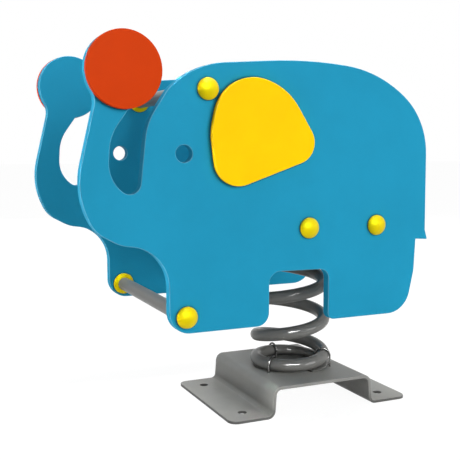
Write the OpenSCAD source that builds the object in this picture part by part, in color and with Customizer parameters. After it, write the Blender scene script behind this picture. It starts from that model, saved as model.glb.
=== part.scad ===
// Spring rider for a playground: two elephant-shaped side panels, a seat between them,
// a handlebar and a footrest, all carried by one coil spring on a folded steel base.
// X points forward to the trunk, Y to the rider's left, Z up.
// The origin is on the ground, under the spring's axis.

/* [Side panels] */
// Thickness of each side panel
panel_t = 19; // [15:1:25]
// Clear width between the two panels
panel_gap = 362; // [340:2:420]
// Height of the legs' undersides above the ground
leg_z = 198; // [185:1:210]
// Radius of the round trunk tip
tip_r = 63; // [58:1:66]
// Diameter of the eye hole
eye_d = 30; // [24:1:36]

/* [Ears and ball discs] */
// Thickness of the ear and ball plates
trim_t = 10; // [5:1:12]
// How far the ball disc reaches past the edge of the trunk tip
disc_over = 0.5; // [0.5:0.5:3]
// Diameter of the dowels that hold the plates
dowel_d = 8; // [5:1:10]
// Length of a dowel inside the panel
dowel_grip = 10; // [6:1:12]

/* [Handlebar and footrest] */
// Outer diameter of both tubes
tube_d = 27; // [22:1:34]
// Wall of both tubes
tube_wall = 2.6; // [2:0.1:4]
// Handlebar axis, forward of the spring
handle_x = 270; // [264:1:274]
// Handlebar axis, above the ground
handle_z = 616; // [611:1:621]
// Footrest axis, forward of the spring
rest_x = 310; // [298:1:314]
// Footrest axis, above the legs' undersides
rest_rise = 29; // [26:1:40]
// Outer diameter of the collar round each tube end
collar_d = 44; // [40:1:50]
// Height of a collar
collar_h = 11; // [9:1:16]
// Length of the threaded plug in each tube end
plug_l = 32; // [26:1:50]

/* [Panel bolts and caps] */
// Diameter of the bolts through the panels
bolt_d = 10; // [8:1:12]
// Diameter of the domed bolt caps
cap_d = 38; // [34:1:44]
// Height of a bolt cap
cap_h = 15; // [14:1:20]
// Wall of a bolt cap
cap_wall = 1.5; // [1:0.1:2.5]

/* [Seat] */
// Middle of the seat, forward of the spring
seat_x = -2; // [-10:1:10]
// Distance between the two seat bolts of a side
seat_bolt_pitch = 146; // [120:1:170]
// Height of the seat bolts above the bracket's underside
seat_bolt_rise = 21; // [19:1:25]
// Length of the seat bracket
bracket_l = 206; // [200:2:240]
// Sheet thickness of the seat bracket
bracket_t = 5; // [4:0.5:6]
// Bend radius inside the seat bracket's folded corners
bracket_bend_r = 6; // [3:0.5:8]
// Height of the seat bracket's underside
bracket_z = 351; // [340:1:353]
// Height of the seat bracket
bracket_h = 46; // [44:1:60]
// Width of the bracket's upper lips
bracket_lip = 42; // [36:1:60]
// Thickness of the seat board
board_t = 19; // [15:1:25]
// Length of the seat board
board_l = 280; // [240:5:320]

/* [Coil spring] */
// Diameter of the spring wire
wire_d = 26; // [20:0.5:28]
// Mean diameter of the coil
coil_d = 141; // [130:1:160]
// Rise of the coil in one turn
coil_pitch = 77; // [72:1:85]
// Direction in which the lower wire tip lies, in degrees from X
tip_turn = 96; // [0:1:359]
// Thickness of the wire at its tips
tip_h = 2; // [1.5:0.5:4]
// Turn over which the wire swells from a tip to its full size, in degrees
tip_taper = 240; // [180:5:270]

/* [Spring clamps] */
// Rod diameter of the U-shaped clamps
clamp_d = 4; // [4:0.5:8]

/* [Base plate] */
// Length of the base plate
base_l = 400; // [380:2:460]
// Width of the base plate
base_w = 284; // [240:2:320]
// Sheet thickness of the base plate
base_t = 6; // [4:0.5:8]
// Height of the raised middle of the base plate
base_h = 61; // [50:1:80]
// Length of the raised middle
hat_l = 218; // [200:2:230]
// How far each sloped wall spreads outwards to its foot
wall_run = 4; // [0:1:20]
// Bend radius inside the base plate's folded corners
base_bend_r = 10; // [4:0.5:14]
// Corner radius of the base plate
base_corner = 18; // [5:1:30]
// Anchor hole spacing along X
anchor_x = 314; // [300:2:340]
// Anchor hole spacing along Y
anchor_y = 196; // [160:2:220]
// Diameter of the anchor holes
anchor_d = 18; // [11:0.5:20]

/* [Hidden] */
$fn = 64;

panel_blue = [0.16, 0.6, 0.75];
signal_yellow = [1, 0.84, 0.08];
ball_orange = [0.84, 0.27, 0.08];
coat_grey = [0.48, 0.48, 0.47];
zinc = [0.72, 0.74, 0.76];

// Largest turn between two neighbouring points of a rounded corner
arc_step = 10;
// Largest distance between a rounded corner and the straight steps along it
arc_sag = 0.12;
// Cuts reach past the faces they open by this much
past = 1;
// Running room between pieces that seat in each other, on the radius
seat_room = 0.2;
// Room between the spring and the pieces that hold it
coil_room = 0.4;
// Room of a bolt in its hole, on the diameter
hole_room = 1;

inner_y = panel_gap / 2;
outer_y = inner_y + panel_t;

handle = [handle_x, handle_z];
rest = [rest_x, leg_z + rest_rise];
seat_bolts_at = [
  for (side = [-1, 1]) [seat_x + side * seat_bolt_pitch / 2, bracket_z + seat_bolt_rise]
];
tube_ends = [handle, rest];
panel_bolts = concat(tube_ends, seat_bolts_at);

// Panel outline: each corner is [x, z, radius], with the round tip as an arc in between.
tip = [417, 642];
tip_from = -32;
tip_to = 262;
tip_steps = 49;
neck_reach = 15;
neck = tip + tip_r * [cos(tip_from), sin(tip_from)] + neck_reach * [sin(tip_from), -cos(tip_from)];
legs_and_chin = [
  [151, leg_z, 24], [341, leg_z, 38], [341, 348, 75], [423, 355, 62], [467, 379, 55],
  [499, 442, 138], [neck.x, neck.y, 34]
];
tip_arc = [
  for (i = [0:tip_steps])
    let (a = tip_from + (tip_to - tip_from) * i / tip_steps)
      [tip.x + tip_r * cos(a), tip.y + tip_r * sin(a), 0]
];
slot_and_forehead = [
  [440, 535, 78], [444, 464, 57], [393, 423, 19], [378, 558, 107], [340, 615, 59], [293, 657.5, 160]
];
back_and_tail = [
  [78, 674.5, 900], [-77, 660, 252], [-189, 573, 139], [-191, 358, 5], [-197, 339, 2], [-169, 341, 1]
];
rear_leg_and_arch = [
  [-166, 280, 60], [-148, leg_z, 50], [28, leg_z, 13], [28, 294, 18], [151, 296, 22]
];
eye = [313, 507];
ear_corners = [[253, 435, 46], [46, 506, 38], [122, 624, 110], [243, 655, 76], [267, 544, 100]];
ear_dowels = [[213, 499], [203, 594], [118, 529]];
disc_dowels = [for (side = [-1, 1]) tip + [side * tip_r / 2, 0]];
dowels_at = concat(ear_dowels, disc_dowels);

// Coil: the ends lie flat, the middle rises evenly and the two meet in a soft bend.
// The rising coil starts to lift just before it would meet its own tip.
wire_r = wire_d / 2;
coil_r = coil_d / 2;
rise_per_degree = coil_pitch / 360;
soft_bend = 140;
rings_per_turn = 32;
wire_sides = 12;
coil_low = base_h + coil_room + wire_r;
coil_high = bracket_z - coil_room - wire_r;
coil_rise = coil_high - coil_low;
tip_gap = 1.2;
room_at_tip = tip_h + tip_gap;
even_lead = room_at_tip / rise_per_degree;
soft_lead = even_lead < soft_bend / 2 ? sqrt(2 * soft_bend * even_lead) : even_lead + soft_bend / 2;
flat_turn = 360 + soft_bend / 2 - soft_lead;
coil_turn = 2 * flat_turn + coil_rise / rise_per_degree;
coil_rings = ceil(coil_turn / 360 * rings_per_turn);

// U-shaped clamps: angles from the wire's tip along the coil, the last one over coil and tip
clamp_turns = [177, 296, 404];
upper_clamp_turns = [for (turn = clamp_turns) coil_turn - turn];
clamp_r = wire_r + coil_room + clamp_d / 2;
clamp_washer_t = 1.6;
clamp_washer_d = 2.1 * clamp_d;
clamp_nut_h = 0.8 * clamp_d;
clamp_nut_af = 1.6 * clamp_d;
clamp_end = 3;

// Panel bolts: each head sits on a washer, on a cap base, on the panel
cap_rim = 4;
cap_base_t = 3;
cap_base_d = cap_d - 2 * cap_wall - 2 * seat_room;
washer_t = 2;
washer_d = 2 * bolt_d;
head_d = 1.75 * bolt_d;
head_h = 0.5 * bolt_d;
head_rim = 0.15 * bolt_d;
socket_af = 0.6 * bolt_d;
nut_h = 0.8 * bolt_d;
nut_af = 1.7 * bolt_d;
bolt_end = 3;
head_y = outer_y + cap_base_t + washer_t;
collar_rim = 3;
collar_floor = 3;
tube_end_y = inner_y - collar_floor;
tube_bolt_l = head_y - tube_end_y + plug_l - 8;
seat_bolt_l = head_y - inner_y + bracket_t + washer_t + nut_h + bolt_end;

// Seat board on the bracket's lips
bracket_top = bracket_z + bracket_h;
board_room = 1;
board_edge_r = 7;
screw_d = 6;
screw_grip = 13;
screw_head_h = 4;
screw_head_d = 13;
screw_inset = 40;
screws_at = [
  for (x = [-1, 1], y = [-1, 1])
    [seat_x + x * (bracket_l / 2 - screw_inset), y * (inner_y - bracket_t - bracket_bend_r - screw_head_d)]
];

function unit(v) = v / norm(v);

function place(corner) = [corner.x, corner.y];

// Points of the arc that rounds corner b between its neighbours a and c
function corner_arc(a, b, c, r) =
  r == 0 ? [b] :
  let (
    u = unit(a - b),
    v = unit(c - b),
    half = acos(u * v) / 2,
    centre = b + unit(u + v) * r / sin(half),
    first = b + u * r / tan(half) - centre,
    last = b + v * r / tan(half) - centre,
    from = atan2(first.y, first.x),
    turn = (atan2(last.y, last.x) - from + 540) % 360 - 180,
    steps = ceil(abs(turn) / min(arc_step, 2 * acos(1 - arc_sag / r)))
  )
  [for (i = [0:steps]) let (a = from + turn * i / steps) centre + r * [cos(a), sin(a)]];

// Closed outline through corners of the form [x, y, radius]
function rounded(corners) =
  let (n = len(corners))
  [
    for (i = [0:n - 1])
      let (before = corners[(i + n - 1) % n], here = corners[i], after = corners[(i + 1) % n])
        each corner_arc(place(before), place(here), place(after), here.z)
  ];

// Section of a folded sheet: path is one face, and the thickness lies on its left
function folded_sheet(path, t, bend) =
  let (
    n = len(path),
    along = [for (i = [0:n - 2]) unit(path[i + 1] - path[i])],
    normal = [for (d = along) [-d.y, d.x]],
    other = [
      for (i = [0:n - 1])
        let (a = normal[max(i - 1, 0)], b = normal[min(i, n - 2)])
          path[i] + t * (a + b) / (1 + a * b)
    ],
    left = [for (i = [0:n - 1]) i > 0 && i < n - 1 && cross(along[i - 1], along[i]) > 0],
    fold = [for (i = [0:n - 1]) i > 0 && i < n - 1],
    near = [for (i = [0:n - 1]) [path[i].x, path[i].y, fold[i] ? bend + (left[i] ? t : 0) : 0]],
    far = [for (i = [0:n - 1]) [other[i].x, other[i].y, fold[i] ? bend + (left[i] ? 0 : t) : 0]]
  )
  rounded(concat(near, [for (i = [n - 1:-1:0]) far[i]]));

function rounded_rectangle(x, y, r) =
  rounded([[x / 2, -y / 2, r], [x / 2, y / 2, r], [-x / 2, y / 2, r], [-x / 2, -y / 2, r]]);

// Height that the wire has climbed after a turn from its lower tip
function climb(turn) =
  let (soft = turn - flat_turn + soft_bend / 2)
  soft < 0 ? 0 :
  soft < soft_bend ? rise_per_degree * soft * soft / (2 * soft_bend) :
  rise_per_degree * (soft - soft_bend / 2);

function coil_climb(turn) =
  turn < coil_turn / 2 ? climb(turn) : coil_rise - climb(coil_turn - turn);

// Height of the wire: each tip is a wedge that fills the room beside the rising coil
function wire_height(turn) =
  let (
    from_tip = min(turn, coil_turn - turn),
    swell = sin(90 * max(0, min(1, from_tip / tip_taper)))
  )
  min(tip_h + (wire_d - tip_h) * swell, climb(360 + from_tip) - tip_gap);

// Centre of the wire: a tapered tip still lies on the plate that it bears on
function wire_centre(turn) =
  let (
    slack = wire_r - wire_height(turn) / 2,
    z = coil_low + coil_climb(turn) + (turn < coil_turn / 2 ? -slack : slack)
  )
  [coil_r * cos(tip_turn + turn), coil_r * sin(tip_turn + turn), z];

function wire_ring(turn) =
  let (
    here = wire_centre(turn),
    ahead = unit(wire_centre(turn + 0.5) - wire_centre(turn - 0.5)),
    outward = [cos(tip_turn + turn), sin(tip_turn + turn), 0],
    upward = unit(cross(outward, ahead)),
    half_h = wire_height(turn) / 2
  )
  [
    for (k = [0:wire_sides - 1])
      let (a = 360 * k / wire_sides) here + wire_r * cos(a) * outward + half_h * sin(a) * upward
  ];

wire_rings = [for (i = [0:coil_rings]) wire_ring(coil_turn * i / coil_rings)];

// Least distance between points of the wire that lie one turn apart
least_gap = min([
  for (turn = [0:10:coil_turn - 360])
    for (p = wire_ring(turn), q = wire_ring(turn + 360)) norm(p - q)
]);
echo(str("coil_spring: least gap to itself ", least_gap, " mm"));

// Sets its children at place p of the panels' plane, with their Z along Y
module facing_out(p, y) {
  translate([p.x, y, p.y])
    rotate([-90, 0, 0])
      children();
}

// Sets its children at place p of the panels' plane, with their Z towards the middle
module facing_in(p, y) {
  translate([p.x, y, p.y])
    rotate([90, 0, 0])
      children();
}

module both_sides() {
  children();
  mirror([0, 1, 0])
    children();
}

module ring(outer_d, bore_d, h) {
  difference() {
    cylinder(d = outer_d, h = h);
    translate([0, 0, -past])
      cylinder(d = bore_d, h = h + 2 * past);
  }
}

module hex_nut(af, bore_d, h) {
  difference() {
    cylinder(d = af / cos(30), h = h, $fn = 6);
    translate([0, 0, -past])
      cylinder(d = bore_d, h = h + 2 * past);
  }
}

// Round plate with an upright rim and a domed top
module dome(d, rim, h) {
  rise = h - rim;
  ball_r = (d * d / 4 + rise * rise) / (2 * rise);
  intersection() {
    cylinder(d = d, h = h);
    translate([0, 0, h - ball_r])
      sphere(r = ball_r);
  }
}

// Bolt with a domed socket head on z = 0 and its shank below
module button_bolt(length) {
  difference() {
    dome(head_d, head_rim, head_h);
    translate([0, 0, head_h / 2])
      cylinder(d = socket_af / cos(30), h = head_h, $fn = 6);
  }
  translate([0, 0, -length])
    cylinder(d = bolt_d, h = length);
}

// Places its children on the coil, with X outwards and the wire's centre as origin
module on_coil(turn) {
  rotate([0, 0, tip_turn + turn])
    translate([coil_r, 0, wire_centre(turn).z])
      children();
}

// U-shaped rod over the wire, with both legs pointing down
module u_clamp(leg) {
  rotate([90, 0, 0])
    rotate_extrude(angle = 180)
      translate([clamp_r, 0])
        circle(d = clamp_d);
  for (side = [-1, 1])
    translate([side * clamp_r, 0, -leg])
      cylinder(d = clamp_d, h = leg);
}

// Places its children at the clamp legs, at height z
module at_clamp_legs(turns, z) {
  for (turn = turns, side = [-1, 1])
    rotate([0, 0, tip_turn + turn])
      translate([coil_r + side * clamp_r, 0, z])
        children();
}

module base_plate() {
  hat = hat_l / 2;
  foot = hat + wall_run;
  top_face = [
    [base_l / 2, base_t], [foot, base_t], [hat, base_h],
    [-hat, base_h], [-foot, base_t], [-base_l / 2, base_t]
  ];
  color(coat_grey)
    difference() {
      intersection() {
        rotate([90, 0, 0])
          linear_extrude(base_w, center = true)
            polygon(folded_sheet(top_face, base_t, base_bend_r));
        linear_extrude(base_h)
          polygon(rounded_rectangle(base_l, base_w, base_corner));
      }
      for (x = [-1, 1], y = [-1, 1])
        translate([x * anchor_x / 2, y * anchor_y / 2, -past])
          cylinder(d = anchor_d, h = base_t + 2 * past);
      at_clamp_legs(clamp_turns, base_h - base_t - past)
        cylinder(d = clamp_d + hole_room, h = base_t + 2 * past);
    }
}

module lower_spring_clamps() {
  under_plate = clamp_washer_t + clamp_nut_h + clamp_end;
  color(coat_grey)
    for (turn = clamp_turns)
      on_coil(turn)
        u_clamp(wire_centre(turn).z - base_h + base_t + under_plate);
}

module lower_clamp_washers() {
  color(zinc)
    at_clamp_legs(clamp_turns, base_h - base_t - clamp_washer_t)
      ring(clamp_washer_d, clamp_d + 2 * seat_room, clamp_washer_t);
}

module lower_clamp_nuts() {
  color(zinc)
    at_clamp_legs(clamp_turns, base_h - base_t - clamp_washer_t - clamp_nut_h)
      hex_nut(clamp_nut_af, clamp_d + 2 * seat_room, clamp_nut_h);
}

module coil_spring() {
  points = [for (ring = wire_rings) each ring];
  skin = [
    for (i = [0:coil_rings - 1], k = [0:wire_sides - 1])
      let (
        a = i * wire_sides + k,
        b = i * wire_sides + (k + 1) % wire_sides,
        c = b + wire_sides,
        d = a + wire_sides
      )
        each [[a, b, c], [a, c, d]]
  ];
  last = coil_rings * wire_sides;
  ends = [for (k = [1:wire_sides - 2]) each [[0, k + 1, k], [last, last + k, last + k + 1]]];
  color(coat_grey)
    polyhedron(points, concat(skin, ends), convexity = 10);
}

module upper_spring_clamps() {
  over_plate = clamp_washer_t + clamp_nut_h + clamp_end;
  color(coat_grey)
    for (turn = upper_clamp_turns)
      on_coil(turn)
        mirror([0, 0, 1])
          u_clamp(bracket_z + bracket_t + over_plate - wire_centre(turn).z);
}

module upper_clamp_washers() {
  color(zinc)
    at_clamp_legs(upper_clamp_turns, bracket_z + bracket_t)
      ring(clamp_washer_d, clamp_d + 2 * seat_room, clamp_washer_t);
}

module upper_clamp_nuts() {
  color(zinc)
    at_clamp_legs(upper_clamp_turns, bracket_z + bracket_t + clamp_washer_t)
      hex_nut(clamp_nut_af, clamp_d + 2 * seat_room, clamp_nut_h);
}

// Lipped channel between the panels: the spring below, the seat board on top
module seat_bracket() {
  lip_y = inner_y - bracket_lip;
  outer_face = [
    [-lip_y, bracket_top], [-inner_y, bracket_top], [-inner_y, bracket_z],
    [inner_y, bracket_z], [inner_y, bracket_top], [lip_y, bracket_top]
  ];
  color(coat_grey)
    difference() {
      translate([seat_x, 0, 0])
        rotate([90, 0, 90])
          linear_extrude(bracket_l, center = true)
            polygon(folded_sheet(outer_face, bracket_t, bracket_bend_r));
      at_clamp_legs(upper_clamp_turns, bracket_z - past)
        cylinder(d = clamp_d + hole_room, h = bracket_t + 2 * past);
      both_sides()
        for (p = seat_bolts_at)
          facing_in(p, inner_y + past)
            cylinder(d = bolt_d + hole_room, h = bracket_t + 2 * past);
      for (p = screws_at)
        translate([p.x, p.y, bracket_top - bracket_t - past])
          cylinder(d = screw_d + hole_room, h = bracket_t + 2 * past);
    }
}

module seat_board() {
  color(panel_blue)
    difference() {
      translate([seat_x, 0, bracket_top + board_t / 2])
        rotate([90, 0, 0])
          linear_extrude(panel_gap - 2 * board_room, center = true)
            polygon(rounded_rectangle(board_l, board_t, board_edge_r));
      for (p = screws_at)
        translate([p.x, p.y, bracket_top - past])
          cylinder(d = screw_d + 2 * seat_room, h = screw_grip + seat_room + past);
    }
}

module seat_screws() {
  color(zinc)
    for (p = screws_at)
      translate([p.x, p.y, bracket_top - bracket_t]) {
        translate([0, 0, -screw_head_h])
          cylinder(d = screw_head_d, h = screw_head_h, $fn = 6);
        cylinder(d = screw_d, h = bracket_t + screw_grip);
      }
}

module seat_bolts() {
  color(zinc)
    both_sides()
      for (p = seat_bolts_at)
        facing_out(p, head_y)
          button_bolt(seat_bolt_l);
}

module seat_nuts() {
  color(zinc)
    both_sides()
      for (p = seat_bolts_at)
        facing_in(p, inner_y - bracket_t - washer_t)
          hex_nut(nut_af, bolt_d + 2 * seat_room, nut_h);
}

module side_panel() {
  outline = rounded(
    concat(legs_and_chin, tip_arc, slot_and_forehead, back_and_tail, rear_leg_and_arch)
  );
  color(panel_blue)
    difference() {
      translate([0, outer_y, 0])
        rotate([90, 0, 0])
          linear_extrude(panel_t)
            polygon(outline);
      facing_in(eye, outer_y + past)
        cylinder(d = eye_d, h = panel_t + 2 * past);
      for (p = panel_bolts)
        facing_in(p, outer_y + past)
          cylinder(d = bolt_d + hole_room, h = panel_t + 2 * past);
      for (p = dowels_at)
        facing_in(p, outer_y + past)
          cylinder(d = dowel_d + 2 * seat_room, h = dowel_grip + seat_room + past);
    }
}

module left_side_panel() {
  side_panel();
}

module right_side_panel() {
  mirror([0, 1, 0])
    side_panel();
}

// Part of a dowel that sits in the ear or the disc, which keeps its outer face whole
dowel_tip = trim_t / 2;

module dowel_sockets(places) {
  for (p = places)
    facing_out(p, outer_y - past)
      cylinder(d = dowel_d + 2 * seat_room, h = past + dowel_tip + seat_room);
}

module ear() {
  color(signal_yellow)
    difference() {
      translate([0, outer_y + trim_t, 0])
        rotate([90, 0, 0])
          linear_extrude(trim_t)
            polygon(rounded(ear_corners));
      dowel_sockets(ear_dowels);
    }
}

module left_ear() {
  ear();
}

module right_ear() {
  mirror([0, 1, 0])
    ear();
}

module ball_disc() {
  color(ball_orange)
    difference() {
      facing_out(tip, outer_y)
        cylinder(r = tip_r + disc_over, h = trim_t, $fn = 128);
      dowel_sockets(disc_dowels);
    }
}

module left_ball_disc() {
  ball_disc();
}

module right_ball_disc() {
  mirror([0, 1, 0])
    ball_disc();
}

module trim_dowels() {
  color(signal_yellow)
    both_sides()
      for (p = dowels_at)
        facing_out(p, outer_y - dowel_grip)
          cylinder(d = dowel_d, h = dowel_grip + dowel_tip);
}

module cross_tube(p) {
  color(coat_grey)
    facing_out(p, -tube_end_y)
      ring(tube_d, tube_d - 2 * tube_wall, 2 * tube_end_y);
}

module handlebar() {
  cross_tube(handle);
}

module footrest() {
  cross_tube(rest);
}

module tube_plugs() {
  color(zinc)
    both_sides()
      for (p = tube_ends)
        facing_in(p, tube_end_y)
          ring(tube_d - 2 * tube_wall - 2 * seat_room, bolt_d + 2 * seat_room, plug_l);
}

// Domed collar on the panel's inner face that holds the end of a tube
module tube_collars() {
  color(signal_yellow)
    both_sides()
      for (p = tube_ends)
        facing_in(p, inner_y)
          difference() {
            dome(collar_d, collar_rim, collar_h);
            translate([0, 0, collar_floor])
              cylinder(d = tube_d + 2 * seat_room, h = collar_h);
            translate([0, 0, -past])
              cylinder(d = bolt_d + hole_room, h = collar_floor + 2 * past);
          }
}

module tube_bolts() {
  color(zinc)
    both_sides()
      for (p = tube_ends)
        facing_out(p, head_y)
          button_bolt(tube_bolt_l);
}

module bolt_washers() {
  color(zinc)
    both_sides() {
      for (p = panel_bolts)
        facing_out(p, outer_y + cap_base_t)
          ring(washer_d, bolt_d + 2 * seat_room, washer_t);
      for (p = seat_bolts_at)
        facing_in(p, inner_y - bracket_t)
          ring(washer_d, bolt_d + 2 * seat_room, washer_t);
    }
}

module cap_bases() {
  color(signal_yellow)
    both_sides()
      for (p = panel_bolts)
        facing_out(p, outer_y)
          ring(cap_base_d, bolt_d + hole_room, cap_base_t);
}

module bolt_caps() {
  color(signal_yellow)
    both_sides()
      for (p = panel_bolts)
        facing_out(p, outer_y)
          difference() {
            dome(cap_d, cap_rim, cap_h);
            translate([0, 0, -past])
              dome(cap_d - 2 * cap_wall, cap_rim + past, cap_h - cap_wall + past);
          }
}

base_plate();
lower_spring_clamps();
lower_clamp_washers();
lower_clamp_nuts();
coil_spring();
upper_spring_clamps();
upper_clamp_washers();
upper_clamp_nuts();
seat_bracket();
seat_board();
seat_screws();
seat_bolts();
seat_nuts();
left_side_panel();
right_side_panel();
left_ear();
right_ear();
left_ball_disc();
right_ball_disc();
trim_dowels();
handlebar();
footrest();
tube_plugs();
tube_collars();
tube_bolts();
bolt_washers();
cap_bases();
bolt_caps();
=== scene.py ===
# Looks of a playground spring rider: two elephant-shaped boards with a seat, a handlebar and a
# footrest between them, on one coil spring over a folded steel base.
# Metres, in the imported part's own frame: X forward to the trunk, Y to the rider's left, Z up.
from math import acos, atan2, ceil, cos, pi, radians, sin, sqrt

import bpy
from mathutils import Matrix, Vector
from mathutils.geometry import delaunay_2d_cdt


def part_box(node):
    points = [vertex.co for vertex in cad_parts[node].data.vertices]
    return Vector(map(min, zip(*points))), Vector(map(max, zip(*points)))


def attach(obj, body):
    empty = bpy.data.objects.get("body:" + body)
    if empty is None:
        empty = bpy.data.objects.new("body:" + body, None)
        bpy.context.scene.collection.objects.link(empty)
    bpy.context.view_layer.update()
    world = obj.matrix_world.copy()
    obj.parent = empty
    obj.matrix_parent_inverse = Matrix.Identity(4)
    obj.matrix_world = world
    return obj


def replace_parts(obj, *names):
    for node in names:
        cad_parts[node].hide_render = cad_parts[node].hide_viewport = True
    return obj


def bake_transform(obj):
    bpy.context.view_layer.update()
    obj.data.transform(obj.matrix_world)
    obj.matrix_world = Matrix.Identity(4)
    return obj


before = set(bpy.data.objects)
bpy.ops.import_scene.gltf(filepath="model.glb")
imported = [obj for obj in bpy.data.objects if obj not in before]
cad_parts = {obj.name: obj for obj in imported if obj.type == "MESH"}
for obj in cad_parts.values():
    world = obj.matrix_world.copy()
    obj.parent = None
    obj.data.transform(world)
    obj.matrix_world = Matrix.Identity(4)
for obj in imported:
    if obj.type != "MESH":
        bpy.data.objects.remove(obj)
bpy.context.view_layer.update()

# Base plate
# A folded steel sheet, 6 mm thick: a raised middle for the spring, two flanges for the anchors.
# Laser cut, bent and powder coated in grey, so its cut edges are slightly rounded by the coat.
COAT_GREY = (0.287, 0.285, 0.267, 1)
COAT_ON_EDGE = (0.36, 0.36, 0.35, 1)
# Darker colour of the upright cut faces: a painted shade.
CUT_FACE_SHADE = (0.1, 0.1, 0.094, 1)
DUST = (0.38, 0.37, 0.34, 1)
SHEET_RELIEF = {"bump": 0.16, "depth": 0.0006}
SHEET_SHINE = {"Specular IOR Level": 0.2}
SHEET_EDGE = 0.0009
SAME_PLACE = 0.00002
# How dark the painted shade in joints and corners makes a colour.
PAINTED_SHADE_TONE = 0.12


def put(tree, kind, inputs=None, **settings):
    """Adds a shader node, sets it up, and gives its inputs their values or links."""
    node = tree.nodes.new("ShaderNode" + kind)
    for name, value in settings.items():
        setattr(node, name, value)
    for socket, value in (inputs or {}).items():
        if isinstance(value, bpy.types.NodeSocket):
            tree.links.new(value, node.inputs[socket])
        else:
            node.inputs[socket].default_value = value
    return node


def maths(tree, operation, *values, **settings):
    """Result of one operation on plain values or links."""
    return put(tree, "Math", dict(enumerate(values)), operation=operation, **settings).outputs[0]


def noise(tree, at, scale, detail, **inputs):
    """Strength of a noise texture at a place."""
    inputs = {"Vector": at, "Scale": scale, "Detail": detail, **inputs}
    return put(tree, "TexNoise", inputs).outputs["Fac"]


def toned(tree, colour, tone):
    """A colour made lighter or darker by a factor."""
    return put(tree, "VectorMath", {0: colour, "Scale": tone}, operation="SCALE").outputs[0]


def mix_colour(tree, share, first, second):
    """Colour between first and second, by share."""
    return put(tree, "Mix", {0: share, 6: first, 7: second}, data_type="RGBA").outputs[2]


def spread(tree, value, low, high, to_low=0.0, to_high=1.0):
    """Stretches a value from one range to another with a soft start and end."""
    inputs = {"Value": value, "From Min": low, "From Max": high, "To Min": to_low, "To Max": to_high}
    return put(tree, "MapRange", inputs, interpolation_type="SMOOTHSTEP").outputs["Result"]


def mottled(tree, texture, low, high):
    """Values from low to high over the range in which most of a noise lies."""
    return spread(tree, texture, 0.3, 0.7, low, high)


def contact_shade(tree, colour, reach, amount):
    """Paints shade into a colour in joints and corners, where other surfaces are nearer than reach."""
    near = put(tree, "AmbientOcclusion", {"Distance": reach}, samples=8)
    hidden = maths(tree, "SUBTRACT", 1.0, spread(tree, near.outputs["AO"], 0.4, 0.95))
    share = maths(tree, "MULTIPLY", hidden, amount)
    return mix_colour(tree, share, colour, toned(tree, colour, PAINTED_SHADE_TONE))


def new_effect(name, inputs, outputs):
    """A node group with named sockets, the outputs of its start and the inputs of its end."""
    tree = bpy.data.node_groups.new(name, "ShaderNodeTree")
    for socket, kind, value in inputs:
        tree.interface.new_socket(socket, in_out="INPUT", socket_type=kind).default_value = value
    for socket, kind in outputs:
        tree.interface.new_socket(socket, in_out="OUTPUT", socket_type=kind)
    start = tree.nodes.new("NodeGroupInput")
    end = tree.nodes.new("NodeGroupOutput")
    return tree, start.outputs, end.inputs


SKIN_OUTPUTS = [
    ("Colour", "NodeSocketColor"), ("Roughness", "NodeSocketFloat"), ("Height", "NodeSocketFloat")
]


def powder_coat_effect():
    """Orange peel, patchy gloss, thin coat on edges, dust on top, painted shade on cut faces and
    joints.
    """
    tree, given, made = new_effect(
        "powder_coat",
        [
            ("Colour", "NodeSocketColor", COAT_GREY),
            ("Edge Colour", "NodeSocketColor", COAT_ON_EDGE),
            ("Dust Colour", "NodeSocketColor", DUST),
            ("Dust", "NodeSocketFloat", 0.3),
            ("Cut Shade Colour", "NodeSocketColor", CUT_FACE_SHADE),
            ("Cut Shade Share", "NodeSocketFloat", 0.0),
            ("Joint Reach", "NodeSocketFloat", 0.012),
            ("Joint Shade", "NodeSocketFloat", 0.6),
            ("Gloss Low", "NodeSocketFloat", 0.36),
            ("Gloss High", "NodeSocketFloat", 0.52),
        ],
        SKIN_OUTPUTS,
    )
    place = put(tree, "TexCoord").outputs
    peel = noise(tree, place["Object"], 420, 2, Roughness=0.5)
    fleck = noise(tree, place["Object"], 1500, 1)
    patch = noise(tree, place["Object"], 22, 4, Roughness=0.6)
    up = put(tree, "SeparateXYZ", {0: place["Normal"]}).outputs["Z"]
    level = spread(tree, up, 0.75, 1)
    tone = maths(tree, "MULTIPLY", mottled(tree, patch, 0.94, 1.05), mottled(tree, fleck, 0.96, 1.04))
    coat = toned(tree, given["Colour"], tone)

    sharp = put(tree, "NewGeometry").outputs["Pointiness"]
    worn = spread(tree, sharp, 0.515, 0.56, 0, 0.3)
    edged = mix_colour(tree, worn, coat, given["Edge Colour"])

    settled = maths(tree, "MULTIPLY", level, given["Dust"])
    dust = maths(tree, "MULTIPLY", settled, spread(tree, patch, 0.35, 0.7))
    dusted = mix_colour(tree, dust, edged, given["Dust Colour"])

    # Painted shade: the upright cut faces take the darker cut colour.
    upright = spread(tree, maths(tree, "ABSOLUTE", up), 0.03, 0.06, 1, 0)
    cut = maths(tree, "MULTIPLY", upright, given["Cut Shade Share"])
    cut_shaded = mix_colour(tree, cut, dusted, given["Cut Shade Colour"])

    # Painted shade in joints and corners, kept off what faces up.
    sheltered = maths(tree, "SUBTRACT", 1.0, level)
    painted_joint_shade = maths(tree, "MULTIPLY", sheltered, given["Joint Shade"])
    tree.links.new(contact_shade(tree, cut_shaded, given["Joint Reach"], painted_joint_shade), made["Colour"])

    gloss = put(
        tree, "MapRange",
        {
            "Value": patch, "From Min": 0.3, "From Max": 0.7,
            "To Min": given["Gloss Low"], "To Max": given["Gloss High"],
        },
    )
    tree.links.new(maths(tree, "MULTIPLY_ADD", dust, 0.25, gloss.outputs[0]), made["Roughness"])
    tree.links.new(maths(tree, "MULTIPLY_ADD", fleck, 0.3, peel), made["Height"])
    return tree


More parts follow.
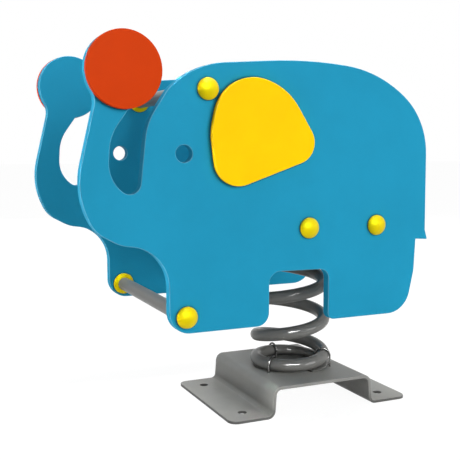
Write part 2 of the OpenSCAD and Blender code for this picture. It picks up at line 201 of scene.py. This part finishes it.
def finish_material(name, effect, values, shader, bump, depth):
    """A material whose skin comes from an effect; shader holds the plain values of its own sockets."""
    finish = bpy.data.materials.new(name)
    finish.use_nodes = True
    tree = finish.node_tree
    tree.nodes.clear()
    group = tree.nodes.new("ShaderNodeGroup")
    group.node_tree = effect
    for socket, value in values.items():
        group.inputs[socket].default_value = value
    skin = group.outputs
    relief = put(tree, "Bump", {"Strength": bump, "Distance": depth, "Height": skin["Height"]})
    inputs = {
        "Base Color": skin["Colour"],
        "Roughness": skin["Roughness"],
        "Normal": relief.outputs["Normal"],
        **shader,
    }
    if "Coat" in skin:
        inputs["Coat Weight"] = skin["Coat"]
    surface = put(tree, "BsdfPrincipled", inputs)
    put(tree, "OutputMaterial", {"Surface": surface.outputs["BSDF"]})
    return finish


def wear(node, finish):
    """Gives a CAD node its finish."""
    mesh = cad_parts[node].data
    mesh.materials.clear()
    mesh.materials.append(finish)


def round_edges(node, radius):
    """Rounds a CAD node's sharp edges, as cutting and coating leave them."""
    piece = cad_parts[node]
    weld = piece.modifiers.new("joined_faces", "WELD")
    weld.merge_threshold = SAME_PLACE
    flat = piece.modifiers.new("whole_faces", "DECIMATE")
    flat.decimate_type = "DISSOLVE"
    flat.angle_limit = radians(0.6)
    edge = piece.modifiers.new("rounded_edges", "BEVEL")
    edge.width = radius
    edge.segments = 3
    edge.limit_method = "ANGLE"
    edge.angle_limit = radians(40)
    edge.use_clamp_overlap = False
    shading = piece.modifiers.new("even_shading", "WEIGHTED_NORMAL")
    shading.weight = 80


powder_coat = powder_coat_effect()
# The plate gets painted shade on its cut faces and at the feet of its walls.
plate_coat = finish_material(
    "plate_coat", powder_coat,
    {"Dust": 0.35, "Cut Shade Share": 0.3, "Joint Reach": 0.045, "Joint Shade": 0.8},
    SHEET_SHINE, **SHEET_RELIEF,
)
wear("base_plate", plate_coat)
round_edges("base_plate", SHEET_EDGE)

# Lower spring clamps with their washers and nuts
# Three U-shaped rods over the spring's lowest turn, bent from round bar, with a dark glossy coat.
# Washers and nuts under the plate are zinc plated, with the mottled crystals of the zinc bath.
CLAMP_GREY = (0.1, 0.1, 0.097, 1)
ZINC = (0.55, 0.57, 0.58, 1)
ZINC_DARK = (0.37, 0.385, 0.40, 1)


def zinc_effect():
    """Zinc crystals of two tones, with a little white bloom in patches."""
    tree, given, made = new_effect(
        "zinc_plate",
        [("Colour", "NodeSocketColor", ZINC), ("Dark Colour", "NodeSocketColor", ZINC_DARK)],
        SKIN_OUTPUTS,
    )
    at = put(tree, "TexCoord").outputs["Object"]
    crystal = put(tree, "TexVoronoi", {"Vector": at, "Scale": 520})
    bloom = noise(tree, at, 90, 4)
    tint = put(tree, "SeparateColor", {0: crystal.outputs["Color"]}).outputs[0]
    tree.links.new(mix_colour(tree, tint, given["Colour"], given["Dark Colour"]), made["Colour"])
    tree.links.new(mottled(tree, bloom, 0.28, 0.48), made["Roughness"])
    tree.links.new(tint, made["Height"])
    return tree


zinc_plate = finish_material(
    "zinc_plate", zinc_effect(), {}, {"Metallic": 1.0}, bump=0.08, depth=0.0002
)
clamp_coat = finish_material(
    "clamp_coat", powder_coat,
    {"Colour": CLAMP_GREY, "Dust": 0.0, "Gloss Low": 0.22, "Gloss High": 0.32},
    {"Metallic": 1.0}, bump=0.06, depth=0.0003,
)
wear("lower_spring_clamps", clamp_coat)
wear("lower_clamp_washers", zinc_plate)
wear("lower_clamp_nuts", zinc_plate)

# Coil spring
# One bar of spring steel, 26 mm thick, hot wound: flat end turns with hammered, tapered tips.
# Powder coated in a glossier grey than the plate. It is made in two halves, one for each hinge.
SPRING_GREY = (0.152, 0.151, 0.141, 1)
WIRE_R = 0.013
COIL_R = 0.0705
RISE_PER_TURN = 0.077
LOW_TIP_TURN = radians(96)
TIP_HEIGHT = 0.002
TIP_GAP = 0.0012
TIP_TAPER = radians(240)
SOFT_BEND = radians(140)
PLATE_ROOM = 0.0004
RINGS_PER_TURN = 60
WIRE_SIDES = 28
SLOPE_STEP = 0.004

plate_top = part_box("base_plate")[1].z
bracket_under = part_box("seat_bracket")[0].z
coil_low = plate_top + PLATE_ROOM + WIRE_R
coil_rise = bracket_under - PLATE_ROOM - WIRE_R - coil_low
rise_per_radian = RISE_PER_TURN / (2 * pi)
soft_lead = sqrt(2 * SOFT_BEND * (TIP_HEIGHT + TIP_GAP) / rise_per_radian)
flat_turn = 2 * pi + SOFT_BEND / 2 - soft_lead
coil_turn = 2 * flat_turn + coil_rise / rise_per_radian


def climb(turn):
    """Height that the wire has climbed after a turn from its lower tip."""
    soft = turn - flat_turn + SOFT_BEND / 2
    if soft < 0:
        return 0.0
    if soft < SOFT_BEND:
        return rise_per_radian * soft * soft / (2 * SOFT_BEND)
    return rise_per_radian * (soft - SOFT_BEND / 2)


def wire_height(turn):
    """Height of the wire: each tip is a wedge in the room beside the rising coil."""
    from_tip = min(turn, coil_turn - turn)
    swell = sin(pi / 2 * max(0.0, min(1.0, from_tip / TIP_TAPER)))
    return min(TIP_HEIGHT + (2 * WIRE_R - TIP_HEIGHT) * swell, climb(2 * pi + from_tip) - TIP_GAP)


def wire_centre(turn):
    """Centre of the wire: a tapered tip still lies on the plate that it bears on."""
    slack = WIRE_R - wire_height(turn) / 2
    if turn < coil_turn / 2:
        z = coil_low + climb(turn) - slack
    else:
        z = coil_low + coil_rise - climb(coil_turn - turn) + slack
    way = LOW_TIP_TURN + turn
    return Vector((COIL_R * cos(way), COIL_R * sin(way), z))


def wire_ring(turn):
    """Points and normals round the wire."""
    here = wire_centre(turn)
    ahead = (wire_centre(turn + SLOPE_STEP) - wire_centre(turn - SLOPE_STEP)).normalized()
    outward = Vector((cos(LOW_TIP_TURN + turn), sin(LOW_TIP_TURN + turn), 0))
    upward = outward.cross(ahead).normalized()
    half = wire_height(turn) / 2
    points, normals = [], []
    for k in range(WIRE_SIDES):
        a = 2 * pi * k / WIRE_SIDES
        points.append(here + WIRE_R * cos(a) * outward + half * sin(a) * upward)
        normals.append((half * cos(a) * outward + WIRE_R * sin(a) * upward).normalized())
    return points, normals


def new_piece(name, points, faces, finish):
    """A smooth mesh piece with its finish and material slot."""
    mesh = bpy.data.meshes.new(name)
    mesh.from_pydata(points, [], faces)
    mesh.shade_smooth()
    mesh.materials.append(finish)
    piece = bpy.data.objects.new(name, mesh)
    bpy.context.scene.collection.objects.link(piece)
    return piece


def coil_half(name, first, last, closed_end, finish):
    """One half of the coil, swept from turn first to turn last; closed_end is the ring at a tip."""
    rings = ceil((last - first) / (2 * pi) * RINGS_PER_TURN)
    points, normals, faces = [], [], []
    for turn in (first + (last - first) * i / rings for i in range(rings + 1)):
        ring_points, ring_normals = wire_ring(turn)
        points += ring_points
        normals += ring_normals
    for i in range(rings):
        for k in range(WIRE_SIDES):
            a = i * WIRE_SIDES + k
            b = i * WIRE_SIDES + (k + 1) % WIRE_SIDES
            faces.append((a, a + WIRE_SIDES, b + WIRE_SIDES, b))
    tip = [closed_end * rings * WIRE_SIDES + k for k in range(WIRE_SIDES)]
    faces.append(tip[::-1] if closed_end else tip)
    half = new_piece(name, points, faces, finish)
    half.data.normals_split_custom_set_from_vertices(normals)
    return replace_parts(half, "coil_spring")


spring_coat = finish_material(
    "spring_coat", powder_coat,
    {"Colour": SPRING_GREY, "Dust": 0.12, "Gloss Low": 0.5, "Gloss High": 0.6},
    {"Specular IOR Level": 0.04, "Coat Weight": 0.45, "Coat Roughness": 0.03},
    bump=0.05, depth=0.0004,
)
lower_half = coil_half("coil_lower_half", 0, coil_turn / 2, 0, spring_coat)
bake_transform(lower_half)
upper_half = coil_half("coil_upper_half", coil_turn / 2, coil_turn, 1, spring_coat)
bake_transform(upper_half)

# Seat bracket and upper spring clamps
# A lipped channel of 5 mm sheet between the boards, bent and coated like the base.
# Three more U-shaped rods hold the spring's top turn to its floor.
bracket_coat = finish_material("bracket_coat", powder_coat, {"Dust": 0.2}, SHEET_SHINE, **SHEET_RELIEF)
wear("seat_bracket", bracket_coat)
round_edges("seat_bracket", SHEET_EDGE)
wear("upper_spring_clamps", clamp_coat)
wear("upper_clamp_washers", zinc_plate)
wear("upper_clamp_nuts", zinc_plate)

# Side panels and seat board
# Cut from 19 mm polyethylene board, coloured right through, with a fine pebbled skin on both faces.
# A router rounds the panels' edges, leaving tool lines on the cut walls and a paler rounding.
# The rounding is made paler still by a painted highlight.
BOARD_BLUE = (0.0145, 0.265, 0.437, 1)
# Pale rounding of the blue boards: the router's lighter cut and a painted highlight.
BOARD_BLUE_EDGE_AND_HIGHLIGHT = (0.36, 0.67, 0.8, 1)
BOARD_SHINE = {"Specular IOR Level": 0.01, "Coat Roughness": 0.22}
BOARD_RELIEF = {"bump": 0.1, "depth": 0.0005}
BOARD_EDGE = 0.0018
HOLE_EDGE_SHARE = 0.1
ROUNDING_STEPS = 6


def board_effect():
    """Pebbled skin, tool lines on the walls, tinted rounding, painted shade in joints."""
    tree, given, made = new_effect(
        "board_skin",
        [
            ("Colour", "NodeSocketColor", BOARD_BLUE),
            ("Edge Colour", "NodeSocketColor", BOARD_BLUE_EDGE_AND_HIGHLIGHT),
            ("Face Axis", "NodeSocketVector", (0, 1, 0)),
            ("Edge Share", "NodeSocketFloat", 0.25),
            ("Edge Polish", "NodeSocketFloat", 0.1),
            ("Pebble Scale", "NodeSocketFloat", 620),
            ("Joint Reach", "NodeSocketFloat", 0.008),
            ("Joint Shade", "NodeSocketFloat", 0.95),
        ],
        SKIN_OUTPUTS + [("Coat", "NodeSocketFloat")],
    )
    place = put(tree, "TexCoord").outputs
    at = place["Object"]
    axis = given["Face Axis"]
    lean = put(tree, "VectorMath", {0: place["Normal"], 1: axis}, operation="DOT_PRODUCT")
    facing = maths(tree, "ABSOLUTE", lean.outputs["Value"])
    face = spread(tree, facing, 0.8, 0.99)
    wall = spread(tree, facing, 0.12, 0.3, 1, 0)
    rounding = maths(tree, "SUBTRACT", 1.0, maths(tree, "ADD", face, wall))

    fine = noise(tree, at, 1600, 2)
    cloud = noise(tree, at, 9, 5, Roughness=0.6)
    tone = maths(tree, "MULTIPLY", mottled(tree, cloud, 0.97, 1.03), mottled(tree, fine, 0.975, 1.025))
    plain = toned(tree, given["Colour"], tone)
    # Rounding tint: the paler cut plus a painted highlight; on dark edge colours a painted shade.
    pale = maths(tree, "MULTIPLY", rounding, given["Edge Share"])
    edged = mix_colour(tree, pale, plain, given["Edge Colour"])
    # Painted shade where the board meets caps, collars, ears and discs and in its corners.
    shaded = contact_shade(tree, edged, given["Joint Reach"], given["Joint Shade"])
    tree.links.new(shaded, made["Colour"])

    gloss = mottled(tree, cloud, 0.44, 0.54)
    tree.links.new(maths(tree, "MULTIPLY_ADD", rounding, -0.12, gloss), made["Roughness"])
    tree.links.new(maths(tree, "MULTIPLY", rounding, given["Edge Polish"]), made["Coat"])

    pebble = put(
        tree, "TexVoronoi", {"Vector": at, "Scale": given["Pebble Scale"]}, feature="SMOOTH_F1"
    )
    bumps = maths(tree, "MULTIPLY", pebble.outputs["Distance"], face)
    depth = put(tree, "VectorMath", {0: at, 1: axis}, operation="DOT_PRODUCT")
    waver = maths(tree, "MULTIPLY_ADD", cloud, 0.004, depth.outputs["Value"])
    lines = put(tree, "TexNoise", {"W": waver, "Scale": 1400, "Detail": 3}, noise_dimensions="1D")
    marks = maths(tree, "MULTIPLY_ADD", lines.outputs["Fac"], wall, bumps)
    tree.links.new(marks, made["Height"])
    return tree


def face_outlines(node, level):
    """Closed outlines of a CAD board's flat face at y = level, as (x, z) points."""
    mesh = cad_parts[node].data
    flat = [abs(v.co.y - level) < SAME_PLACE for v in mesh.vertices]
    place = [(round(v.co.x, 6), round(v.co.z, 6)) for v in mesh.vertices]
    rim = {}
    for face in mesh.polygons:
        corners = [place[v] for v in face.vertices if flat[v]]
        if len(corners) == len(face.vertices):
            for a, b in zip(corners, corners[1:] + corners[:1]):
                if (b, a) in rim:
                    del rim[b, a]
                else:
                    rim[a, b] = True
    ahead = {a: b for a, b in rim}
    outlines = []
    while ahead:
        start, here = ahead.popitem()
        outline = [start]
        while here != start:
            outline.append(here)
            here = ahead.pop(here)
        outlines.append(outline)
    return outlines


def inset_ways(outline, side):
    """The way into the board at each point of an outline, as long as an even inset of 1 needs."""
    ways = []
    for before, here, after in zip(outline[-1:] + outline[:-1], outline, outline[1:] + outline[:1]):
        came = (Vector(here) - Vector(before)).normalized()
        goes = (Vector(after) - Vector(here)).normalized()
        both = came + goes
        ways.append(side * Vector((both.y, -both.x)) / (1 + came.dot(goes)))
    return ways


def steps(first, last, count):
    """Evenly spaced values from first to last."""
    return [first + (last - first) * i / count for i in range(count + 1)]


def edge_profile(near, far, side, radius, through):
    """Rows from the face at y = near down a cut wall: (y, inset, lift of the normal, lean of it)."""
    rows = [
        (near - side * radius * (1 - sin(a)), radius * (1 - cos(a)), side * sin(a), cos(a))
        for a in steps(pi / 2, 0, ROUNDING_STEPS)
    ]
    if not through:
        return rows + [(far, 0, 0, 1)]
    return rows + [(near + far - y, inset, -lift, lean) for y, inset, lift, lean in rows[::-1]]


def face_triangles(loops):
    """Triangles of a flat face between its closed loops, as places in their joined list of points."""
    corners = [corner for loop in loops for corner in loop]
    edges = []
    for loop in loops:
        first = len(edges)
        edges += [(first + k, first + (k + 1) % len(loop)) for k in range(len(loop))]
    cut = delaunay_2d_cdt(corners, edges, [], 0, SAME_PLACE / 10)
    place = [sources[0] for sources in cut[3]]
    kept = []
    for triangle in cut[2]:
        a, b, c = (place[k] for k in triangle)
        middle = (corners[a] + corners[b] + corners[c]) / 3
        inside = False
        for i, j in edges:
            p, q = corners[i], corners[j]
            if (p.y > middle.y) != (q.y > middle.y):
                inside ^= p.x + (middle.y - p.y) * (q.x - p.x) / (q.y - p.y) > middle.x
        if inside:
            kept.append((a, b, c))
    return kept


def routed_board(node, radius, finish):
    """A board cut to its CAD outline, with its edges rounded over and its holes drilled."""
    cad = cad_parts[node].data
    low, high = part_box(node)
    front, back = face_outlines(node, high.y), face_outlines(node, low.y)
    side = 1 if len(front) >= len(back) else -1
    near, far = (high.y, low.y) if side > 0 else (low.y, high.y)
    points, normals, faces = [], [], []
    rims = {near: [], far: []}
    for outline in (front if side > 0 else back):
        corner = Vector(outline[0])
        levels = [v.co.y for v in cad.vertices if (v.co.xz - corner).length < 5 * SAME_PLACE]
        end = max(levels, key=lambda y: abs(y - near))
        through = abs(end - far) < SAME_PLACE
        across = max(x for x, _ in outline) - min(x for x, _ in outline)
        edge = min(radius, HOLE_EDGE_SHARE * across)
        ways = inset_ways(outline, side)
        rings = []
        for y, inset, lift, lean in edge_profile(near, end, side, edge, through):
            rings.append(range(len(points), len(points) + len(outline)))
            for (x, z), way in zip(outline, ways):
                points.append(Vector((x + inset * way.x, y, z + inset * way.y)))
                normals.append(Vector((-way.x, 0, -way.y)).normalized() * lean + Vector((0, lift, 0)))
        for a, b in zip(rings, rings[1:]):
            for i in range(len(outline)):
                faces.append((a[i - 1], b[i - 1], b[i], a[i]))
        rims[near].append(rings[0])
        if through:
            rims[far].append(rings[-1])
        else:
            faces.append(tuple(reversed(rings[-1])))
    for level, rings in rims.items():
        outward = level - (near + far) / 2
        corners = [i for ring in rings for i in ring]
        for triangle in face_triangles([[points[i].xz for i in ring] for ring in rings]):
            a, b, c = (corners[k] for k in triangle)
            turn = (points[b] - points[a]).cross(points[c] - points[a]).y
            faces.append((a, b, c) if turn * outward > 0 else (a, c, b))
    board = new_piece(f"{node}_board", points, faces, finish)
    board.data.normals_split_custom_set_from_vertices(normals)
    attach(board, "rider")
    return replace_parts(board, node)


board_skin = board_effect()
blue_board = finish_material("blue_board", board_skin, {}, BOARD_SHINE, **BOARD_RELIEF)
for panel in ("left_side_panel", "right_side_panel"):
    routed_board(panel, BOARD_EDGE, blue_board)
seat_blue = finish_material(
    "seat_blue_board", board_skin, {"Face Axis": (0, 0, 1)}, BOARD_SHINE, **BOARD_RELIEF
)
wear("seat_board", seat_blue)
wear("seat_screws", zinc_plate)
wear("seat_bolts", zinc_plate)
wear("seat_nuts", zinc_plate)

# Ears, ball discs and their dowels
# Plates of 10 mm board in yellow and orange, routed like the panels and set flat on them.
# Blind dowels of the yellow board hold them, so no screw shows.
EAR_YELLOW = (0.93, 0.555, 0.0015, 1)
# Pale rounding of the ears: the router's lighter cut and a painted highlight.
EAR_YELLOW_EDGE_AND_HIGHLIGHT = (0.95, 0.7, 0.06, 1)
BALL_ORANGE = (0.56, 0.045, 0.003, 1)
# Dark rounding of the discs: a painted shade along their edges.
BALL_ORANGE_EDGE_SHADE = (0.24, 0.022, 0.004, 1)
# Half of each rounding takes that edge colour; painted shade in the joints round the plates.
TRIM_SKIN = {"Edge Share": 0.5, "Joint Reach": 0.007, "Joint Shade": 0.95}
TRIM_EDGE = 0.0011
yellow_board = finish_material(
    "yellow_board", board_skin,
    {"Colour": EAR_YELLOW, "Edge Colour": EAR_YELLOW_EDGE_AND_HIGHLIGHT, **TRIM_SKIN},
    BOARD_SHINE, **BOARD_RELIEF,
)
orange_board = finish_material(
    "orange_board", board_skin,
    {"Colour": BALL_ORANGE, "Edge Colour": BALL_ORANGE_EDGE_SHADE, **TRIM_SKIN},
    BOARD_SHINE, **BOARD_RELIEF,
)
for side in ("left", "right"):
    routed_board(f"{side}_ear", TRIM_EDGE, yellow_board)
    routed_board(f"{side}_ball_disc", TRIM_EDGE, orange_board)
wear("trim_dowels", yellow_board)

# Handlebar, footrest and the collars round their ends
# Straight steel tubes, powder coated, with threaded plugs pressed in for the bolts.
# Glossy moulded collars sit on the boards' inner faces and cover the tube ends.
MOULDED_YELLOW = (0.63, 0.465, 0.002, 1)
MOULDED_SHINE = {"Specular IOR Level": 0.6, "Specular Tint": (0.8, 1, 0.02, 1)}
TUBE_GREY = (0.122, 0.121, 0.112, 1)
TUBE_R = 0.0135
TUBE_ROOM = 0.0002
BOLT_HOLE_R = 0.0055
COLLAR_R = 0.022
COLLAR_RIM = 0.003
COLLAR_HEIGHT = 0.011
COLLAR_FLOOR = 0.003
COLLAR_FILLET = 0.003
MOULD_EDGE = 0.0004
FILLET_STEPS = 6
DOME_STEPS = 14
TURNED_SIDES = 72


def moulding_effect():
    """Glossy moulded plastic: faint flow marks in colour and relief, fine scuffs, painted shade at its
    foot.
    """
    tree, given, made = new_effect(
        "moulded_gloss",
        [
            ("Colour", "NodeSocketColor", MOULDED_YELLOW),
            ("Joint Reach", "NodeSocketFloat", 0.004),
            ("Joint Shade", "NodeSocketFloat", 0.8),
        ],
        SKIN_OUTPUTS,
    )
    at = put(tree, "TexCoord").outputs["Object"]
    flow = noise(tree, at, 40, 2, Distortion=0.6)
    scuff = noise(tree, at, 900, 2)
    plain = toned(tree, given["Colour"], mottled(tree, flow, 0.96, 1.03))
    # Painted shade in the joint where the moulding meets the board.
    shaded = contact_shade(tree, plain, given["Joint Reach"], given["Joint Shade"])
    tree.links.new(shaded, made["Colour"])
    tree.links.new(spread(tree, scuff, 0.35, 0.75, 0.46, 0.5), made["Roughness"])
    tree.links.new(flow, made["Height"])
    return tree


def domed_outline(radius, rim, height, fillet, bore=0.0):
    """Half section of a domed disc as (radius, height), from its foot to its middle or its bore."""
    rise = height - rim
    ball = (radius**2 + rise**2) / (2 * rise)
    middle = height - ball
    fillet_r = radius - fillet
    fillet_h = middle + sqrt((ball - fillet) ** 2 - fillet_r**2)
    lean = atan2(fillet_h - middle, fillet_r)
    top = acos(bore / ball)
    outline = [(radius - MOULD_EDGE, 0), (radius, MOULD_EDGE)]
    for a in steps(0, lean, FILLET_STEPS):
        outline.append((fillet_r + fillet * cos(a), fillet_h + fillet * sin(a)))
    for a in steps(lean, top, DOME_STEPS)[1:]:
        outline.append((ball * cos(a), middle + ball * sin(a)))
    return outline


def turned_piece(name, outline, seats, finish):
    """One mesh of turned pieces: each seat is a foot's centre and the way that the piece points."""
    points, faces = [], []
    for seat, out in seats:
        across = out.orthogonal().normalized()
        beside = out.cross(across)
        rings = []
        for r, h in outline:
            around = TURNED_SIDES if r > SAME_PLACE else 1
            rings.append([len(points) + k for k in range(around)])
            for k in range(around):
                a = 2 * pi * k / TURNED_SIDES
                points.append(seat + out * h + r * (cos(a) * across + sin(a) * beside))
        for low, high in zip(rings, rings[1:] + rings[:1]):
            for k in range(TURNED_SIDES):
                corners = [low[k % len(low)], low[(k + 1) % len(low)]]
                corners += [high[(k + 1) % len(high)], high[k % len(high)]]
                corners = list(dict.fromkeys(corners))
                if len(corners) > 2:
                    faces.append(corners)
    piece = new_piece(name, points, faces, finish)
    piece.data.set_sharp_from_angle(angle=radians(50))
    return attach(piece, "rider")


def tube_seats(node):
    """Where a tube's axis meets the boards' inner faces, with the way inwards."""
    low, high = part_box(node)
    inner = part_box("left_side_panel")[0].y
    middle = (low + high) / 2
    return [(Vector((middle.x, side * inner, middle.z)), Vector((0, -side, 0))) for side in (1, -1)]


yellow_moulding = finish_material(
    "yellow_moulding", moulding_effect(), {}, MOULDED_SHINE, bump=0.002, depth=0.0003
)
tube_coat = finish_material(
    "tube_coat", powder_coat,
    {"Colour": TUBE_GREY, "Dust": 0.05, "Gloss Low": 0.3, "Gloss High": 0.4},
    {"Specular IOR Level": 0.15}, bump=0.06, depth=0.0005,
)
tube_bore = TUBE_R + TUBE_ROOM
collar_outline = domed_outline(COLLAR_R, COLLAR_RIM, COLLAR_HEIGHT, COLLAR_FILLET, tube_bore)
collar_outline += [(tube_bore, COLLAR_FLOOR), (BOLT_HOLE_R, COLLAR_FLOOR), (BOLT_HOLE_R, 0)]
handle_seats = tube_seats("handlebar")
rest_seats = tube_seats("footrest")
collars = turned_piece("moulded_collars", collar_outline, handle_seats + rest_seats, yellow_moulding)
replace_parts(collars, "tube_collars")
wear("handlebar", tube_coat)
wear("footrest", tube_coat)
wear("tube_plugs", zinc_plate)

# Panel bolts and their caps
# Zinc-plated bolts with domed socket heads, each on a washer in a moulded cap base.
# A thin domed cap of glossy yellow plastic snaps over every head.
CAP_R = 0.019
CAP_RIM = 0.004
CAP_HEIGHT = 0.015
CAP_WALL = 0.0015
CAP_FILLET = 0.005


def cap_seats():
    """Where the caps sit on the boards' outer faces: at the tubes and at the seat bolts."""
    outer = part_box("left_side_panel")[1].y
    low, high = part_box("seat_bolts")
    head_r = (high.z - low.z) / 2
    places = [(seat.x, seat.z) for seat, _ in handle_seats[:1] + rest_seats[:1]]
    places += [(x, (low.z + high.z) / 2) for x in (low.x + head_r, high.x - head_r)]
    return [
        (Vector((x, side * outer, z)), Vector((0, side, 0))) for x, z in places for side in (1, -1)
    ]


cap_outline = domed_outline(CAP_R, CAP_RIM, CAP_HEIGHT, CAP_FILLET)
cap_inside = domed_outline(CAP_R - CAP_WALL, CAP_RIM, CAP_HEIGHT - CAP_WALL, CAP_FILLET)
caps = turned_piece("moulded_caps", cap_outline + cap_inside[::-1], cap_seats(), yellow_moulding)
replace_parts(caps, "bolt_caps")
wear("tube_bolts", zinc_plate)
wear("bolt_washers", zinc_plate)
wear("cap_bases", yellow_moulding)

# Studio: floor and surrounding light
# A plain white floor and white surroundings, seen as white; the floor keeps a faint shadow.
# They light the object less than they show, so that its own colours stay deep.
WHITE = (1, 1, 1, 1)
FLOOR_REACH = 30.0
FLOOR_WHITE = (0.62, 0.62, 0.62, 1)
FLOOR_GLOW = 1.12
GLOW_SHARE = 0.85
SKY_LIGHT = 0.3


def seen_directly(tree):
    """1 for rays that show what they meet: from the camera, by gloss or through glass."""
    path = put(tree, "LightPath").outputs
    shown = maths(tree, "ADD", path["Is Camera Ray"], path["Is Glossy Ray"], use_clamp=True)
    return maths(tree, "ADD", shown, path["Is Transmission Ray"], use_clamp=True)


floor_corners = [
    (x * FLOOR_REACH, y * FLOOR_REACH, 0) for x, y in ((-1, -1), (1, -1), (1, 1), (-1, 1))
]
floor_mesh = bpy.data.meshes.new("floor")
floor_mesh.from_pydata(floor_corners, [], [(0, 1, 2, 3)])
floor = bpy.data.objects.new("floor", floor_mesh)
bpy.context.scene.collection.objects.link(floor)
floor_paint = bpy.data.materials.new("floor_paint")
floor_paint.use_nodes = True
paint = floor_paint.node_tree
paint.nodes.clear()
matt = put(paint, "BsdfDiffuse", {"Color": FLOOR_WHITE})
glow = put(paint, "Emission", {"Strength": FLOOR_GLOW})
glow_share = maths(paint, "MULTIPLY", seen_directly(paint), GLOW_SHARE)
shown = put(paint, "MixShader", {0: glow_share, 1: matt.outputs[0], 2: glow.outputs[0]})
put(paint, "OutputMaterial", {"Surface": shown.outputs[0]})
floor_mesh.materials.append(floor_paint)

studio = bpy.data.worlds.new("studio")
bpy.context.scene.world = studio
studio.use_nodes = True
air = studio.node_tree
air.nodes.clear()
sky = put(air, "Background", {"Color": WHITE, "Strength": SKY_LIGHT})
backdrop = put(air, "Background", {"Color": WHITE, "Strength": 1.0})
around = put(air, "MixShader", {0: seen_directly(air), 1: sky.outputs[0], 2: backdrop.outputs[0]})
put(air, "OutputWorld", {"Surface": around.outputs[0]})

# Studio: lamps and camera
# A broad soft key at the right behind the camera, weaker lamps above, in front and behind, a strip
# for the streaks on the spring, beams on the heads' edges, and the camera as for the photograph.
MIDDLE = (0.1, 0, 0.36)
# Each lamp: name, place, aim, width and height, beam in degrees, watts, and what shows its light
LAMPS = [
    ("key", (-2.7, 4.4, 1.2), MIDDLE, (3.2, 3.2), 180, 187, "all"),
    ("top", (0.12, 0.27, 3.3), MIDDLE, (2.0, 0.3), 180, 84, "all"),
    ("fill", (1.5, 2.7, 0.85), MIDDLE, (0.6, 0.6), 180, 14, "all"),
    ("back", (-1.0, -4.2, 0.9), MIDDLE, (3.0, 3.0), 180, 75, "matt"),
    ("streak", (1.03, 2.36, 1.7), MIDDLE, (2.4, 0.6), 180, 380, "gloss"),
    ("left_edges", (2.0, 0.19, 1.1), (0.36, 0.19, 0.5), (0.05, 0.7), 3, 0.11, "matt"),
    ("right_edges", (2.0, -0.2, 1.1), (0.36, -0.2, 0.5), (0.05, 0.7), 3, 0.11, "matt"),
    ("brow", (0.9, 0.19, 2.2), (0.32, 0.19, 0.62), (0.1, 0.1), 5, 0.065, "matt"),
]
CAMERA_PLACE = (0.779, 1.426, 0.511)
CAMERA_TURN = radians(24.17)
CAMERA_DROP = radians(5.79)
CAMERA_LENS = 60.74


def stand(thing, place, way):
    """Puts a lamp or camera at its place, looking along a way."""
    thing.location = place
    thing.rotation_euler = way.to_track_quat("-Z", "Y").to_euler()
    bpy.context.scene.collection.objects.link(thing)


for name, place, aim, size, beam, watts, shown_by in LAMPS:
    lamp = bpy.data.lights.new(name, "AREA")
    lamp.shape = "ELLIPSE"
    lamp.size, lamp.size_y = size
    lamp.spread = radians(beam)
    lamp.energy = watts
    holder = bpy.data.objects.new(name, lamp)
    holder.visible_diffuse = shown_by != "gloss"
    holder.visible_glossy = shown_by != "matt"
    holder.visible_camera = False
    stand(holder, place, Vector(aim) - Vector(place))

lens = bpy.data.cameras.new("camera")
lens.lens = CAMERA_LENS
camera = bpy.data.objects.new("camera", lens)
level_way = Vector((-sin(CAMERA_TURN), -cos(CAMERA_TURN), 0))
stand(camera, CAMERA_PLACE, level_way * cos(CAMERA_DROP) - Vector((0, 0, sin(CAMERA_DROP))))
bpy.context.scene.camera = camera
bpy.context.scene.view_settings.view_transform = "Standard"
